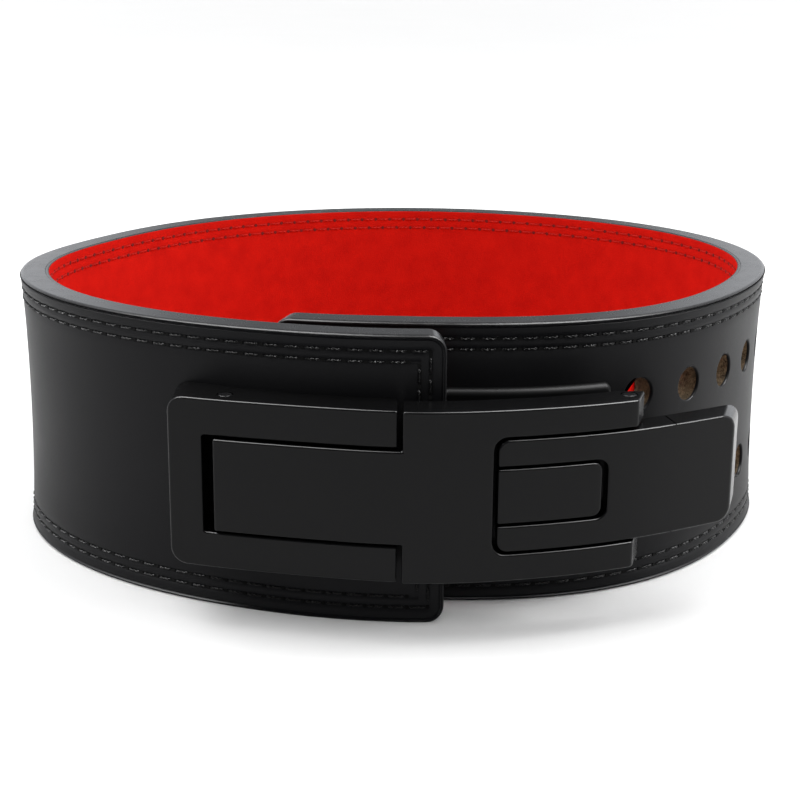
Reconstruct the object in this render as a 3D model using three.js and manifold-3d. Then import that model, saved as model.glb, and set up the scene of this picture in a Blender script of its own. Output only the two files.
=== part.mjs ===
// A lever belt for weightlifting: a stiff leather strap rolled into a loop, lined with suede, whose two
// ends lie over each other at the front and are held by a cast lever buckle.
// Millimetres, +Z up. The buckle faces -Y, and the strap stands on its lower rim at z = 0.
import * as THREE from 'three';
import { mergeVertices } from 'three/addons/utils/BufferGeometryUtils.js';
import Module from 'manifold-3d';

const wasm = await Module();
wasm.setup();

// Strap and lining
const LOOP_WIDTH = 274.6; // clear width inside the loop, side to side
const STRAP_HEIGHT = 100;
const LEATHER = 9.6; // thickness of the leather wall
const LINING = 1.0; // thickness of the suede
const FIT = 0.3; // gap between pieces that lie against each other
const RIM_ROUND = 1.4; // rounding of the leather's four long edges
const LINING_INSET = 0.9; // the suede stops this far below the rims
const END_CORNER = 6; // radius of the corners at both ends of the strap
const INNER_END = -21.5; // where the inner end lies, in degrees from the front towards +X
const OUTER_END = 366.9; // where the outer end lies, one turn further on

// Punched holes, in two rows
const HOLES_PER_ROW = 9;
const HOLE_PITCH = 25.6; // along the strap's outer face
const HOLE_DIAMETER = 12.2;
const HOLE_ROW_SPACING = 42.8;
const END_TO_HOLE = 27.6; // from the inner end to the first hole's centre

// Buckle as a whole
const BUCKLE_HEIGHT = 58.4;
const LEVER_DEPTH = 14.5; // front to back
const CAST_WALL = 3.2; // wall of the castings round their hollow backs
const PIN_DIAMETER = 5.0;
const PIN_SETBACK = 8.5; // pin centre behind the lever's front face
const END_FLARE = 0.31; // how far the arms' and the handle's ends spread for each mm behind their face
const ARM_END_WALL = 2.3; // metal between the lever pin's bore and the arms' ends

// Base frame, open to the right, fastened to the strap's outer end
const FRAME_START = -76.1; // left edge of the frame, from the middle of the loop
const FRAME_LENGTH = 76.0;
const FRAME_STILE = 11.7;
const FRAME_ARM = 12.4;
const FRAME_CORNER = 5.5;
const FRAME_STEP = 1.0; // the lever's face stands this far in front of the frame's

// Lever, hinged in the frame's left end
const FINGER_GAP = 3.7; // between the frame's stile and the lever's narrow end
const SIDE_CLEARANCE = 0.9; // between a moving piece and the one that it lies in, above and below
const SEAM = 1.7; // between the frame's arm ends and the lever's wide part
const LEVER_BODY = 29.5;
const LEVER_ARM = 9.2;
const LEVER_ARM_LENGTH = 48.0;
const LEVER_CORNER = 4.5; // inner corners of the lever's opening
const SMALL_CORNER = 1.0;

// Handle, hinged between the lever's arm ends
const HANDLE_END_GAP = 1.4;
const HANDLE_LENGTH = 82.5;
const HANDLE_DEPTH = 12.6; // front to back
const HANDLE_CORNER = 5.0;
const HANDLE_BOSS = 6.5; // solid metal on either side of the lever pin
const NOTCH_TO_PIN = 7.3; // from the notch's closed end to the lever pin's centre
const NOTCH_HEIGHT = 20.4;

// Tongue, in the handle's notch, and the plate that it pulls
const TONGUE_GAP = 2.0; // clear of the notch's closed end
const TONGUE_CORNER = 3.0;
const NECK_LENGTH = 16;
const NECK_HEIGHT = 11;
const TONGUE_PIN_INSET = 6.0; // pin centre from the tongue's left end
const PLATE_THICKNESS = 2.8;
const PLATE_TO_INNER_END = 33.5; // how far it runs past the middle of its prongs, one way
const PLATE_AWAY = 26.7; // and the other way
const PLATE_HEIGHT = 55;
const PLATE_CORNER = 3;
const FIRST_PRONG_HOLE = 2; // counted from the inner end, the first hole being 0
const PRONG_COLUMNS = 2;
const PRONG_CLEARANCE = 1.1; // round a prong, inside its hole

// Screws that hold the frame
const SCREW_DIAMETER = 5.0;
const SCREW_HEAD = 12.0;
const SCREW_HEAD_THICKNESS = 1.8;
const SCREW_BITE = 6.0; // length inside the frame

// Places of those screws: run back from the strap's outer end as a share of the frame's length, and
// height from mid-strap as a share of half the buckle's height
const SCREWS = [
  { back: 1.18, rise: 0.51 },
  { back: 1.18, rise: -0.51 },
  { back: 0.37, rise: 0.79 },
  { back: 0.37, rise: -0.79 },
];

// Plan of the lining's inner face: degrees round from the front towards +X, and distance from the
// middle as a share of half the loop's width
const LOOP_PLAN = [
  { turn: -20, reach: 0.794 },
  { turn: 0, reach: 0.78 },
  { turn: 20, reach: 0.827 },
  { turn: 45, reach: 0.902 },
  { turn: 70, reach: 0.947 },
  { turn: 90, reach: 0.995 },
  { turn: 110, reach: 1.009 },
  { turn: 140, reach: 0.964 },
  { turn: 175, reach: 0.914 },
  { turn: 210, reach: 0.896 },
  { turn: 235, reach: 0.904 },
  { turn: 255, reach: 0.936 },
  { turn: 275, reach: 1.004 },
  { turn: 295, reach: 1.007 },
  { turn: 315, reach: 0.965 },
  { turn: 335, reach: 0.928 },
  { turn: 355, reach: 0.926 },
  { turn: 369, reach: 0.937 },
];

// Plan of the line that the lever's back keeps to, one wall in front of it: places across the front
// and how far forward, both as shares of half the loop's width
const LEVER_PLAN = [
  { across: -0.6, forward: 0.803 },
  { across: -0.45, forward: 0.852 },
  { across: -0.3, forward: 0.89 },
  { across: -0.15, forward: 0.922 },
  { across: 0, forward: 0.944 },
  { across: 0.15, forward: 0.94 },
  { across: 0.3, forward: 0.913 },
  { across: 0.45, forward: 0.871 },
  { across: 0.6, forward: 0.81 },
  { across: 0.75, forward: 0.728 },
  { across: 0.9, forward: 0.638 },
];

// Steps of the faceted surfaces
const STRAP_STEPS = 74;
const FACE_STEPS = 24;
const SEAT_STEPS = 24;
const HOLE_SIDES = 14;
const OVERCUT = 3; // how far what is cut away runs past the wall that it goes through
const PIN_SIDES = 14;

// Values that follow from the sizes above
const HALF_WIDTH = LOOP_WIDTH / 2;
const WALL = LINING + FIT + LEATHER;
const MIDDLE = STRAP_HEIGHT / 2;
const HALF_BUCKLE = BUCKLE_HEIGHT / 2;
const FRAME_END = FRAME_START + FRAME_LENGTH;
const SLOT_START = FRAME_START + FRAME_STILE;
const HALF_SLOT = HALF_BUCKLE - FRAME_ARM;
const LEVER_TIP = SLOT_START + FINGER_GAP;
const HALF_TIP = HALF_SLOT - SIDE_CLEARANCE;
const BODY_START = FRAME_END + SEAM;
const BODY_END = BODY_START + LEVER_BODY;
const LEVER_END = BODY_END + LEVER_ARM_LENGTH;
const HALF_OPENING = HALF_BUCKLE - LEVER_ARM;
const HANDLE_START = BODY_END + HANDLE_END_GAP;
const HANDLE_END = HANDLE_START + HANDLE_LENGTH;
const HALF_HANDLE = HALF_OPENING - SIDE_CLEARANCE;
const HALF_TONGUE = NOTCH_HEIGHT / 2 - SIDE_CLEARANCE;
const PIN_RADIUS = PIN_DIAMETER / 2;
const PIN_EDGE = PIN_RADIUS + FIT + SMALL_CORNER; // from a pin's centre to the end that it holds
const FRAME_PIN_X = LEVER_TIP + PIN_EDGE;
const LEVER_PIN_X = LEVER_END + END_FLARE * PIN_SETBACK - PIN_RADIUS - FIT - ARM_END_WALL;
const NOTCH_END = LEVER_PIN_X - NOTCH_TO_PIN;
const TONGUE_END = NOTCH_END - TONGUE_GAP;
const TONGUE_PIN_X = HANDLE_START + TONGUE_PIN_INSET;
const FRONT_REACH = LOOP_WIDTH; // longer than anything stands out in front

// Natural cubic spline through the points (xs[i], ys[i])
function naturalSpline(xs, ys) {
  const last = xs.length - 1;
  const bend = xs.map(() => 0);
  const load = xs.map(() => 0);
  for (let i = 1; i < last; i += 1) {
    const span = xs[i + 1] - xs[i - 1];
    const share = (xs[i] - xs[i - 1]) / span;
    const pivot = share * bend[i - 1] + 2;
    const rise = (ys[i + 1] - ys[i]) / (xs[i + 1] - xs[i]) - (ys[i] - ys[i - 1]) / (xs[i] - xs[i - 1]);
    bend[i] = (share - 1) / pivot;
    load[i] = ((6 * rise) / span - share * load[i - 1]) / pivot;
  }
  bend[last] = 0;
  for (let i = last - 1; i >= 0; i -= 1) {
    bend[i] = bend[i] * bend[i + 1] + load[i];
  }
  return (x) => {
    let k = 0;
    while (k < last - 1 && x > xs[k + 1]) {
      k += 1;
    }
    const step = xs[k + 1] - xs[k];
    const a = (xs[k + 1] - x) / step;
    const b = (x - xs[k]) / step;
    const curve = ((a ** 3 - a) * bend[k] + (b ** 3 - b) * bend[k + 1]) * step ** 2;
    return a * ys[k] + b * ys[k + 1] + curve / 6;
  };
}

const reachAt = naturalSpline(
  LOOP_PLAN.map((row) => row.turn),
  LOOP_PLAN.map((row) => row.reach * HALF_WIDTH),
);
const forwardAt = naturalSpline(
  LEVER_PLAN.map((row) => row.across * HALF_WIDTH),
  LEVER_PLAN.map((row) => row.forward * HALF_WIDTH),
);

// Point of the lining's inner face at a turn in degrees
function loopPoint(turn) {
  const angle = THREE.MathUtils.degToRad(turn);
  const reach = reachAt(turn);
  return new THREE.Vector2(reach * Math.sin(angle), -reach * Math.cos(angle));
}

// Stations close together along the loop: point, outward direction, and length run on the outer face
function walkLoop() {
  const count = 1600;
  const nudge = 0.02;
  const walk = [];
  let run = 0;
  for (let i = 0; i <= count; i += 1) {
    const turn = THREE.MathUtils.lerp(INNER_END, OUTER_END, i / count);
    const ahead = loopPoint(turn + nudge).sub(loopPoint(turn - nudge)).normalize();
    const out = new THREE.Vector2(ahead.y, -ahead.x);
    const at = loopPoint(turn);
    const outer = at.clone().addScaledVector(out, WALL);
    if (i > 0) {
      run += outer.distanceTo(walk[i - 1].outer);
    }
    walk.push({ at, out, outer, run });
  }
  return walk;
}

const WALK = walkLoop();
const STRAP_LENGTH = WALK[WALK.length - 1].run;

// Station at a length along the strap's outer face from its inner end
function station(run) {
  let k = 1;
  while (k < WALK.length - 1 && WALK[k].run < run) {
    k += 1;
  }
  const before = WALK[k - 1];
  const after = WALK[k];
  const share = (run - before.run) / (after.run - before.run);
  return {
    at: before.at.clone().lerp(after.at, share),
    out: before.out.clone().lerp(after.out, share).normalize(),
  };
}

// Closed geometry as a manifold solid
function solid(geometry) {
  const bare = geometry.clone();
  bare.deleteAttribute('normal');
  bare.deleteAttribute('uv');
  const merged = mergeVertices(bare, 1e-4);
  return new wasm.Manifold(new wasm.Mesh({
    numProp: 3,
    vertProperties: new Float32Array(merged.attributes.position.array),
    triVerts: new Uint32Array(merged.index.array),
  }));
}

function union(solids) {
  return solids.reduce((all, next) => all.add(next));
}

// Upright prism on a plan outline, with its upper and lower edges rounded by rim
function prism(points, low, high, rim = 0) {
  const geometry = new THREE.ExtrudeGeometry(new THREE.Shape(points), {
    depth: high - low - 2 * rim,
    bevelEnabled: rim > 0,
    bevelThickness: rim,
    bevelSize: rim,
    bevelOffset: -rim,
    bevelSegments: 2,
  });
  geometry.translate(0, 0, low + rim);
  return solid(geometry);
}

// Curved wall that follows the strap: near and far are distances out from the lining's inner face
function strapBand({ near, far, from = 0, to = STRAP_LENGTH, low, high, steps, rim }) {
  const inside = [];
  const outside = [];
  for (let i = 0; i <= steps; i += 1) {
    const { at, out } = station(THREE.MathUtils.lerp(from, to, i / steps));
    inside.push(at.clone().addScaledVector(out, near));
    outside.push(at.clone().addScaledVector(out, far));
  }
  return prism([...outside, ...inside.reverse()], low, high, rim);
}

// Frame of reference on the strap: x along it, y up, z outwards from the lining's inner face
function strapMatrix(run, height) {
  const { at, out } = station(run);
  const outward = new THREE.Vector3(out.x, out.y, 0);
  const along = new THREE.Vector3(-out.y, out.x, 0);
  const matrix = new THREE.Matrix4().makeBasis(along, new THREE.Vector3(0, 0, 1), outward);
  return matrix.setPosition(at.x, at.y, height);
}

// Round bar square to the strap, from one depth to another
function strapBar(run, height, diameter, from, to, sides) {
  const geometry = new THREE.CylinderGeometry(diameter / 2, diameter / 2, to - from, sides);
  geometry.rotateX(Math.PI / 2);
  geometry.translate(0, 0, (from + to) / 2);
  return solid(geometry.applyMatrix4(strapMatrix(run, height)));
}

// What lies outside a rounded corner at an end of the strap; ahead and up are 1 or -1
function cornerCutter(run, height, radius, ahead, up) {
  const shape = new THREE.Shape();
  shape.moveTo(-radius, 0);
  shape.absarc(-radius, -radius, radius, Math.PI / 2, 0, true);
  shape.lineTo(OVERCUT, -radius);
  shape.lineTo(OVERCUT, OVERCUT);
  shape.lineTo(-radius, OVERCUT);
  const depth = WALL + 2 * OVERCUT;
  const geometry = new THREE.ExtrudeGeometry(shape, { depth, bevelEnabled: false, curveSegments: 5 });
  geometry.translate(0, 0, -depth / 2);
  geometry.rotateY(ahead < 0 ? Math.PI : 0);
  geometry.rotateX(up < 0 ? Math.PI : 0);
  geometry.translate(0, 0, WALL / 2);
  return solid(geometry.applyMatrix4(strapMatrix(run, height)));
}

function roundEnds(body, low, high, radius) {
  const cutters = [];
  for (const [run, ahead] of [[0, -1], [STRAP_LENGTH, 1]]) {
    cutters.push(cornerCutter(run, high, radius, ahead, 1));
    cutters.push(cornerCutter(run, low, radius, ahead, -1));
  }
  return body.subtract(union(cutters));
}

function holeCentres() {
  const centres = [];
  for (let i = 0; i < HOLES_PER_ROW; i += 1) {
    for (const side of [-1, 1]) {
      centres.push({ run: END_TO_HOLE + i * HOLE_PITCH, height: MIDDLE + (side * HOLE_ROW_SPACING) / 2 });
    }
  }
  return centres;
}

function screwCentres() {
  return SCREWS.map(({ back, rise }) => (
    { run: STRAP_LENGTH - back * FRAME_LENGTH, height: MIDDLE + rise * HALF_BUCKLE }));
}

// Everything that goes through the wall: the punched holes and the bores of the frame's screws
function wallBores() {
  const bores = holeCentres().map(({ run, height }) => (
    strapBar(run, height, HOLE_DIAMETER, -OVERCUT, WALL + OVERCUT, HOLE_SIDES)));
  for (const { run, height } of screwCentres()) {
    bores.push(strapBar(run, height, SCREW_DIAMETER + 2 * FIT, -OVERCUT, WALL + OVERCUT, PIN_SIDES));
  }
  return union(bores);
}

function makeStrap() {
  const wall = strapBand({
    near: LINING + FIT, far: WALL, low: 0, high: STRAP_HEIGHT, steps: STRAP_STEPS, rim: RIM_ROUND,
  });
  return roundEnds(wall, 0, STRAP_HEIGHT, END_CORNER).subtract(wallBores());
}

function makeLining() {
  const low = LINING_INSET;
  const high = STRAP_HEIGHT - LINING_INSET;
  const skin = strapBand({
    near: 0, far: LINING, from: LINING_INSET, to: STRAP_LENGTH - LINING_INSET, low, high, steps: STRAP_STEPS,
  });
  return roundEnds(skin, low, high, END_CORNER).subtract(wallBores());
}

// Front outline from a list of corners, each rounded by its own radius; x across, y up from mid-strap
function roundedShape(corners) {
  const shape = new THREE.Shape();
  const count = corners.length;
  corners.forEach(([x, y, radius = 0], i) => {
    const corner = new THREE.Vector2(x, y);
    const before = new THREE.Vector2(...corners[(i + count - 1) % count]);
    const after = new THREE.Vector2(...corners[(i + 1) % count]);
    const start = corner.clone().add(before.sub(corner).setLength(radius));
    const finish = corner.clone().add(after.sub(corner).setLength(radius));
    if (i === 0) {
      shape.moveTo(start.x, start.y);
    } else {
      shape.lineTo(start.x, start.y);
    }
    if (radius > 0) {
      const turnsLeft = start.clone().sub(corner).cross(finish.clone().sub(corner)) < 0;
      const middle = start.clone().add(finish).sub(corner);
      const from = start.clone().sub(middle).angle();
      const to = finish.clone().sub(middle).angle();
      shape.absarc(middle.x, middle.y, radius, from, to, !turnsLeft);
    }
  });
  shape.closePath();
  return shape;
}

// Block with a front outline, running straight back from in front of the buckle
function frontBlock(corners) {
  const geometry = new THREE.ExtrudeGeometry(roundedShape(corners), {
    depth: FRONT_REACH, bevelEnabled: false, curveSegments: 4,
  });
  geometry.rotateX(Math.PI / 2);
  geometry.translate(0, 0, MIDDLE);
  return solid(geometry);
}

// Block like the above whose sides lean with the ends' flare, true to its outline at a place on the face
function flaredBlock(corners, x) {
  const lean = new THREE.Matrix4().makeShear(0, 0, END_FLARE, 0, 0, 0);
  lean.setPosition(-END_FLARE * leverFace(x), 0, 0);
  return frontBlock(corners).transform(lean.elements);
}

function boxOutline(left, right, halfHeight, radius = 0) {
  return [[left, -halfHeight, radius], [right, -halfHeight, radius], [right, halfHeight, radius],
    [left, halfHeight, radius]];
}

// Y of the lever's front face at a place across the front
function leverFace(x) {
  return -(forwardAt(x) + WALL + LEVER_DEPTH);
}

// Upright slab behind the lever's curved face, from one depth behind it to another
function faceSlab(from, to) {
  const left = FRAME_START - SMALL_CORNER;
  const right = HANDLE_END + END_FLARE * LEVER_DEPTH + SMALL_CORNER;
  const front = [];
  const rear = [];
  for (let i = 0; i <= FACE_STEPS; i += 1) {
    const x = THREE.MathUtils.lerp(left, right, i / FACE_STEPS);
    front.push(new THREE.Vector2(x, leverFace(x) + from));
    rear.push(new THREE.Vector2(x, leverFace(x) + to));
  }
  return prism([...front, ...rear.reverse()], 0, STRAP_HEIGHT);
}

// Outer layer of the strap near its end, grown by a gap, to cut the seats of what lies on it
function outerSeat(gap) {
  return strapBand({
    near: 0,
    far: WALL + gap,
    from: STRAP_LENGTH - 1.6 * FRAME_LENGTH,
    low: -gap,
    high: STRAP_HEIGHT + gap,
    steps: SEAT_STEPS,
  });
}

// Inner layer of the strap under the buckle, grown by a gap
function innerSeat(gap) {
  return strapBand({
    near: 0, far: WALL + gap, to: 2 * HANDLE_LENGTH, low: -gap, high: STRAP_HEIGHT + gap, steps: SEAT_STEPS,
  });
}

// Upright round bar behind the lever's face
function uprightBar(x, diameter, halfHeight) {
  const geometry = new THREE.CylinderGeometry(diameter / 2, diameter / 2, 2 * halfHeight, PIN_SIDES);
  geometry.rotateX(Math.PI / 2);
  geometry.translate(x, leverFace(x) + PIN_SETBACK, MIDDLE);
  return solid(geometry);
}

function pinBore(x) {
  return uprightBar(x, PIN_DIAMETER + 2 * FIT, HALF_BUCKLE + FIT);
}

function makeBaseFrame() {
  const outline = [
    [FRAME_START, -HALF_BUCKLE, FRAME_CORNER],
    [FRAME_END, -HALF_BUCKLE, SMALL_CORNER],
    [FRAME_END, -HALF_SLOT, SMALL_CORNER],
    [SLOT_START, -HALF_SLOT, SMALL_CORNER],
    [SLOT_START, HALF_SLOT, SMALL_CORNER],
    [FRAME_END, HALF_SLOT, SMALL_CORNER],
    [FRAME_END, HALF_BUCKLE, SMALL_CORNER],
    [FRAME_START, HALF_BUCKLE, FRAME_CORNER],
  ];
  const block = frontBlock(outline).intersect(faceSlab(FRAME_STEP, LEVER_DEPTH + 0.7 * WALL));
  const screwBores = screwCentres().map(({ run, height }) => (
    strapBar(run, height, SCREW_DIAMETER + 2 * FIT, 0, WALL + FIT + SCREW_BITE + FIT, PIN_SIDES)));
  return block.subtract(outerSeat(FIT)).subtract(pinBore(FRAME_PIN_X)).subtract(union(screwBores));
}

function makeLever() {
  const armMiddle = (BODY_END + LEVER_END) / 2;
  const outline = [
    [LEVER_TIP, -HALF_TIP, SMALL_CORNER],
    [BODY_START, -HALF_TIP],
    [BODY_START, -HALF_BUCKLE, SMALL_CORNER],
    [armMiddle, -HALF_BUCKLE],
    [armMiddle, -HALF_OPENING],
    [BODY_END, -HALF_OPENING, LEVER_CORNER],
    [BODY_END, HALF_OPENING, LEVER_CORNER],
    [armMiddle, HALF_OPENING],
    [armMiddle, HALF_BUCKLE],
    [BODY_START, HALF_BUCKLE, SMALL_CORNER],
    [BODY_START, HALF_TIP],
    [LEVER_TIP, HALF_TIP, SMALL_CORNER],
  ];
  const armEnds = [-1, 1].map((side) => flaredBlock([
    [armMiddle - LEVER_ARM, side * HALF_OPENING],
    [LEVER_END, side * HALF_OPENING, SMALL_CORNER],
    [LEVER_END, side * HALF_BUCKLE, SMALL_CORNER],
    [armMiddle - LEVER_ARM, side * HALF_BUCKLE],
  ], LEVER_END));
  const armBack = leverFace(LEVER_PIN_X) + PIN_SETBACK + PIN_EDGE; // the arms' ends are flat behind the pin
  const behindArms = prism([
    new THREE.Vector2(BODY_END, armBack),
    new THREE.Vector2(LEVER_END + LEVER_DEPTH, armBack),
    new THREE.Vector2(LEVER_END + LEVER_DEPTH, armBack + LEVER_DEPTH),
    new THREE.Vector2(BODY_END, armBack + LEVER_DEPTH),
  ], 0, STRAP_HEIGHT);
  const hollowStart = FRAME_PIN_X + PIN_EDGE + CAST_WALL;
  const rib = CAST_WALL / 2; // half of the rib between the two hollows
  const hollows = [
    frontBlock(boxOutline(hollowStart, BODY_START - rib, HALF_TIP - CAST_WALL, SMALL_CORNER)),
    frontBlock(boxOutline(BODY_START + rib, BODY_END - CAST_WALL, HALF_BUCKLE - CAST_WALL, SMALL_CORNER)),
  ];
  const shell = union([frontBlock(outline), ...armEnds]).intersect(faceSlab(0, LEVER_DEPTH));
  const rear = faceSlab(CAST_WALL, 2 * LEVER_DEPTH);
  return shell.subtract(union(hollows).intersect(rear)).subtract(outerSeat(FIT)).subtract(behindArms)
    .subtract(pinBore(FRAME_PIN_X)).subtract(pinBore(LEVER_PIN_X));
}

function makeHandle() {
  const innerCorner = LEVER_CORNER - SIDE_CLEARANCE;
  const notchCorner = TONGUE_CORNER + SIDE_CLEARANCE;
  const hinge = [
    [HANDLE_START, -HALF_HANDLE, innerCorner],
    [LEVER_END, -HALF_HANDLE],
    [LEVER_END, HALF_HANDLE],
    [HANDLE_START, HALF_HANDLE, innerCorner],
  ];
  const grip = [
    [LEVER_PIN_X, -HALF_HANDLE],
    [HANDLE_END, -HALF_HANDLE, HANDLE_CORNER],
    [HANDLE_END, HALF_HANDLE, HANDLE_CORNER],
    [LEVER_PIN_X, HALF_HANDLE],
  ];
  const notch = boxOutline(HANDLE_START - notchCorner, NOTCH_END, NOTCH_HEIGHT / 2, notchCorner);
  const hollow = boxOutline(LEVER_PIN_X + HANDLE_BOSS, HANDLE_END - CAST_WALL, HALF_HANDLE - CAST_WALL,
    HANDLE_CORNER - SMALL_CORNER);
  const shell = frontBlock(hinge).add(flaredBlock(grip, HANDLE_END)).intersect(faceSlab(0, HANDLE_DEPTH));
  const cuts = [
    frontBlock(notch),
    frontBlock(hollow).intersect(faceSlab(CAST_WALL, 2 * LEVER_DEPTH)),
    innerSeat(FIT),
    pinBore(LEVER_PIN_X),
    pinBore(TONGUE_PIN_X),
  ];
  return shell.subtract(union(cuts));
}

function makeTongue() {
  const outline = [
    [HANDLE_START, -HALF_TONGUE, SMALL_CORNER],
    [TONGUE_END, -HALF_TONGUE, TONGUE_CORNER],
    [TONGUE_END, HALF_TONGUE, TONGUE_CORNER],
    [HANDLE_START, HALF_TONGUE, SMALL_CORNER],
  ];
  const neckMiddle = (HANDLE_START + TONGUE_END) / 2;
  const neckOutline = boxOutline(neckMiddle - NECK_LENGTH / 2, neckMiddle + NECK_LENGTH / 2, NECK_HEIGHT / 2);
  const head = frontBlock(outline).intersect(faceSlab(0, LEVER_DEPTH));
  const neckReach = 2 * LEVER_DEPTH + WALL; // ends inside the strap's wall, before the seat is cut
  const neck = frontBlock(neckOutline).intersect(faceSlab(LEVER_DEPTH / 2, neckReach));
  return head.add(neck).subtract(innerSeat(PLATE_THICKNESS + 2 * FIT)).subtract(pinBore(TONGUE_PIN_X));
}

function makeHookPlate() {
  const prongRuns = [];
  for (let i = 0; i < PRONG_COLUMNS; i += 1) {
    prongRuns.push(END_TO_HOLE + (FIRST_PRONG_HOLE + i) * HOLE_PITCH);
  }
  const middle = (prongRuns[0] + prongRuns[prongRuns.length - 1]) / 2;
  const plate = strapBand({
    near: WALL + FIT,
    far: WALL + FIT + PLATE_THICKNESS,
    from: middle - PLATE_TO_INNER_END,
    to: middle + PLATE_AWAY,
    low: MIDDLE - PLATE_HEIGHT / 2,
    high: MIDDLE + PLATE_HEIGHT / 2,
    steps: 12,
  });
  const prongs = [];
  for (const run of prongRuns) {
    for (const side of [-1, 1]) {
      const height = MIDDLE + (side * HOLE_ROW_SPACING) / 2;
      const diameter = HOLE_DIAMETER - 2 * PRONG_CLEARANCE;
      prongs.push(strapBar(run, height, diameter, LINING, WALL + FIT + PLATE_THICKNESS / 2, PIN_SIDES));
    }
  }
  return union([plate, ...prongs]);
}

function makeScrew({ run, height }) {
  const head = strapBar(run, height, SCREW_HEAD, -FIT - SCREW_HEAD_THICKNESS, -FIT, HOLE_SIDES);
  const headMiddle = -FIT - SCREW_HEAD_THICKNESS / 2;
  const shank = strapBar(run, height, SCREW_DIAMETER, headMiddle, WALL + FIT + SCREW_BITE, PIN_SIDES);
  return head.add(shank);
}

// Finishes
const LEATHER_BLACK = { color: 0x17171a, roughness: 0.45, metalness: 0 };
const SUEDE_RED = { color: 0xd01410, roughness: 0.95, metalness: 0 };
const COATED_BLACK = { color: 0x1d1e20, roughness: 0.32, metalness: 0.35 };
const PIN_STEEL = { color: 0x3a3b3d, roughness: 0.35, metalness: 0.8 };

function meshOf(name, body, finish) {
  const { vertProperties, triVerts } = body.getMesh();
  const geometry = new THREE.BufferGeometry();
  geometry.setAttribute('position', new THREE.BufferAttribute(new Float32Array(vertProperties), 3));
  geometry.setIndex(new THREE.BufferAttribute(new Uint32Array(triVerts), 1));
  geometry.computeVertexNormals();
  const mesh = new THREE.Mesh(geometry, new THREE.MeshStandardMaterial(finish));
  mesh.name = name;
  return mesh;
}

const belt = new THREE.Group();
belt.add(meshOf('strap', makeStrap(), LEATHER_BLACK));
belt.add(meshOf('lining', makeLining(), SUEDE_RED));
belt.add(meshOf('base_frame', makeBaseFrame(), COATED_BLACK));
belt.add(meshOf('lever', makeLever(), COATED_BLACK));
belt.add(meshOf('handle', makeHandle(), COATED_BLACK));
belt.add(meshOf('tongue', makeTongue(), COATED_BLACK));
belt.add(meshOf('hook_plate', makeHookPlate(), COATED_BLACK));
belt.add(meshOf('frame_pin', uprightBar(FRAME_PIN_X, PIN_DIAMETER, HALF_BUCKLE), PIN_STEEL));
belt.add(meshOf('lever_pin', uprightBar(LEVER_PIN_X, PIN_DIAMETER, HALF_BUCKLE), PIN_STEEL));
belt.add(meshOf('tongue_pin', uprightBar(TONGUE_PIN_X, PIN_DIAMETER, HALF_HANDLE), PIN_STEEL));
screwCentres().forEach((place, i) => {
  belt.add(meshOf(`frame_screw_${i + 1}`, makeScrew(place), PIN_STEEL));
});

// The origin is under the middle of the whole belt, on the surface that it stands on
const middle = new THREE.Box3().setFromObject(belt).getCenter(new THREE.Vector3());
belt.position.set(-middle.x, -middle.y, 0);

export default belt;
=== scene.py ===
import math

import bmesh
import bpy
import numpy as np
from mathutils import Matrix, Vector


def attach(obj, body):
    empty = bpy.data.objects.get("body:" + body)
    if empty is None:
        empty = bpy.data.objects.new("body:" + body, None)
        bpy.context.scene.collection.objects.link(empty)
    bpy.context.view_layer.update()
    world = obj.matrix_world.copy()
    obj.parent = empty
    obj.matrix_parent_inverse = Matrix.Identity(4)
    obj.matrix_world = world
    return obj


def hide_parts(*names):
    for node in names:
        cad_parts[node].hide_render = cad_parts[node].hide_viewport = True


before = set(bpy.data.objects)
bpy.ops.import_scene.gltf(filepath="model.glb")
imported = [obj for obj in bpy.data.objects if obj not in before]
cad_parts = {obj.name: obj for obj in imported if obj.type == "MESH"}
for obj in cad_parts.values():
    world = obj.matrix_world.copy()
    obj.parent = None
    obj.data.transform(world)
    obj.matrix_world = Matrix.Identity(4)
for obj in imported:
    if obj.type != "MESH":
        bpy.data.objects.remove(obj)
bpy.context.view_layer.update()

# Sizes in metres. The belt stands on z = 0 and its buckle faces -Y.
MM = 0.001
LOOP_CENTRE = Vector((0.0000959, 0.0096745, 0))
HALF_WIDTH = 137.3 * MM
HEIGHT = 100 * MM
MIDDLE = HEIGHT / 2
LEATHER = 9.6 * MM
WALL = 10.9 * MM  # leather and lining together
END_CORNER = 6 * MM
INNER_END = -21.5
OUTER_END = 366.9
WAIST = 1.3 * MM  # how far the wall's middle height is drawn in from its rims
LEAN = 1.6 * MM  # how far the upper rim leans in at the strap's outer end
LEAN_RUN = 160 * MM  # how much of the strap's length that lean fades over

# Loop plan: degrees round from the front towards +X, reach of the lining as a share of HALF_WIDTH
LOOP_PLAN = [
    (-20, 0.794), (0, 0.78), (20, 0.827), (45, 0.902), (70, 0.947), (90, 0.995),
    (110, 1.009), (140, 0.964), (175, 0.914), (210, 0.896), (235, 0.904), (255, 0.936),
    (275, 1.004), (295, 1.007), (315, 0.965), (335, 0.928), (355, 0.926), (369, 0.937),
]

# Lever face plan: place across, how far forward, both as shares of HALF_WIDTH
FACE_PLAN = [
    (-0.6, 0.803), (-0.45, 0.852), (-0.3, 0.89), (-0.15, 0.922), (0, 0.944), (0.15, 0.94),
    (0.3, 0.913), (0.45, 0.871), (0.6, 0.81), (0.75, 0.728), (0.9, 0.638),
]

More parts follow.
